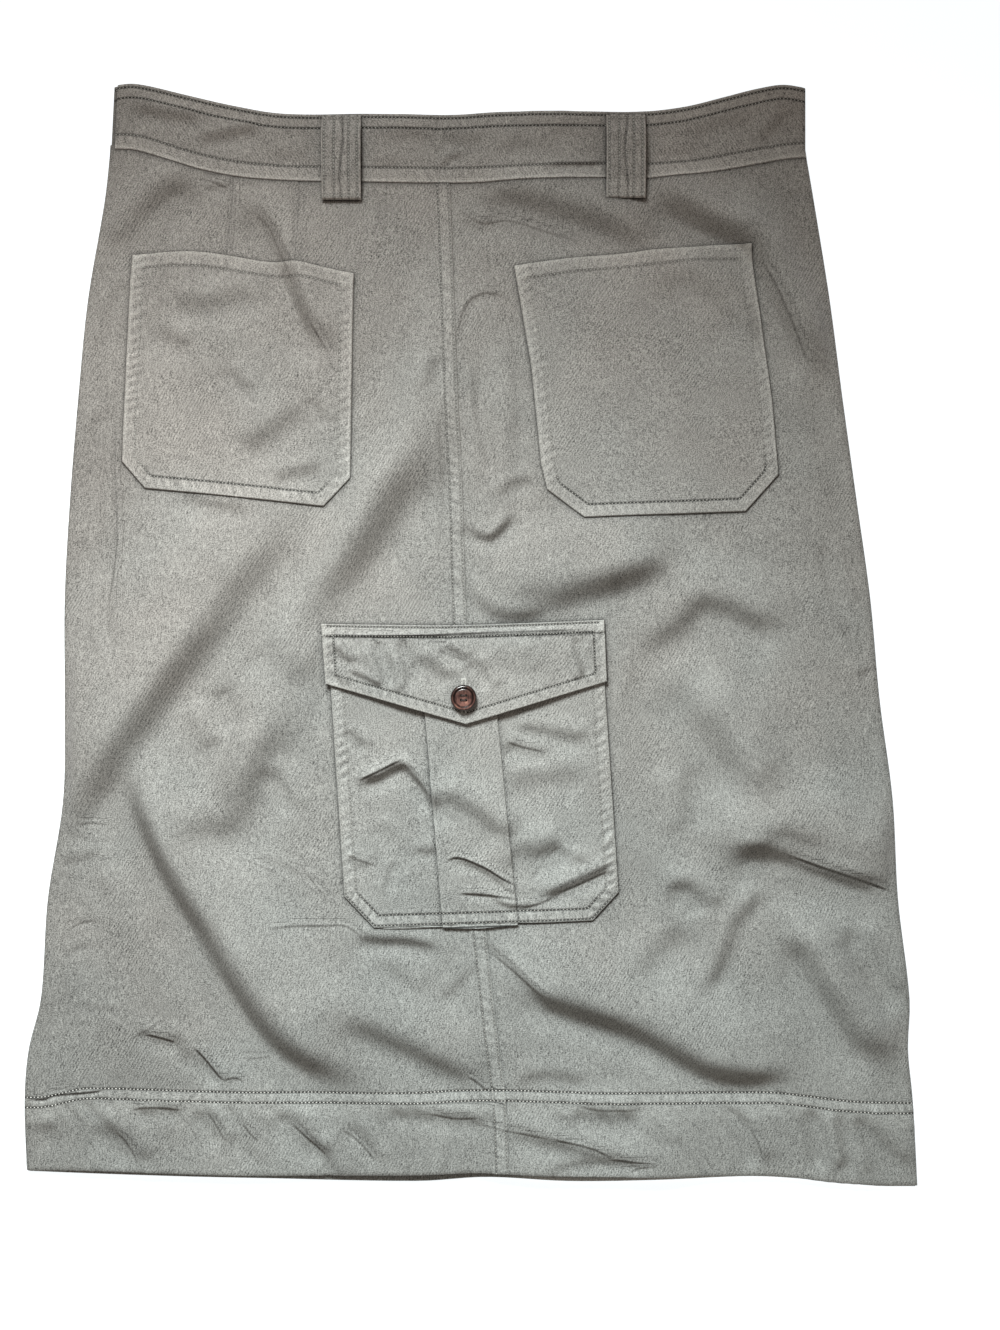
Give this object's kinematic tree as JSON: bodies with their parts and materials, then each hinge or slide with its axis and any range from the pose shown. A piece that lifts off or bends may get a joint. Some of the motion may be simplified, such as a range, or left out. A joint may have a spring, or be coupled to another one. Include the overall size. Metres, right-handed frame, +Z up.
{
  "type": "cargo utility skirt",
  "caption": "A-line cotton twill cargo skirt laid flat, back up, with patch pockets, a pleated flap pocket, belt loops and a deep hem.",
  "frame": {"origin": "centre of the laid-out skirt's outline, on the surface that it lies on", "axes": "+Y towards the waist, +X towards the wearer's right side, +Z up, out of the back"},
  "size_m": [0.581, 0.7164, 0.0191],
  "materials": {
    "twill": "matte grey-green cotton twill, washed, softly creased",
    "thread": "matte spun thread, close to the cloth's own colour",
    "horn_button": "polished, mottled dark brown horn look",
    "zip_tape": "matte woven tape"
  },
  "bodies": {
    "root": {"front": "twill", "waistband_front": "twill", "side_zip": "zip_tape", "back_left": "twill", "back_right": "twill", "waistband_back": "twill", "patch_pocket_left": "twill", "patch_pocket_right": "twill", "cargo_pocket": "twill", "cargo_flap": "twill", "flap_button": "horn_button", "belt_loop_left": "twill", "belt_loop_right": "twill"}
  },
  "joints": []
}
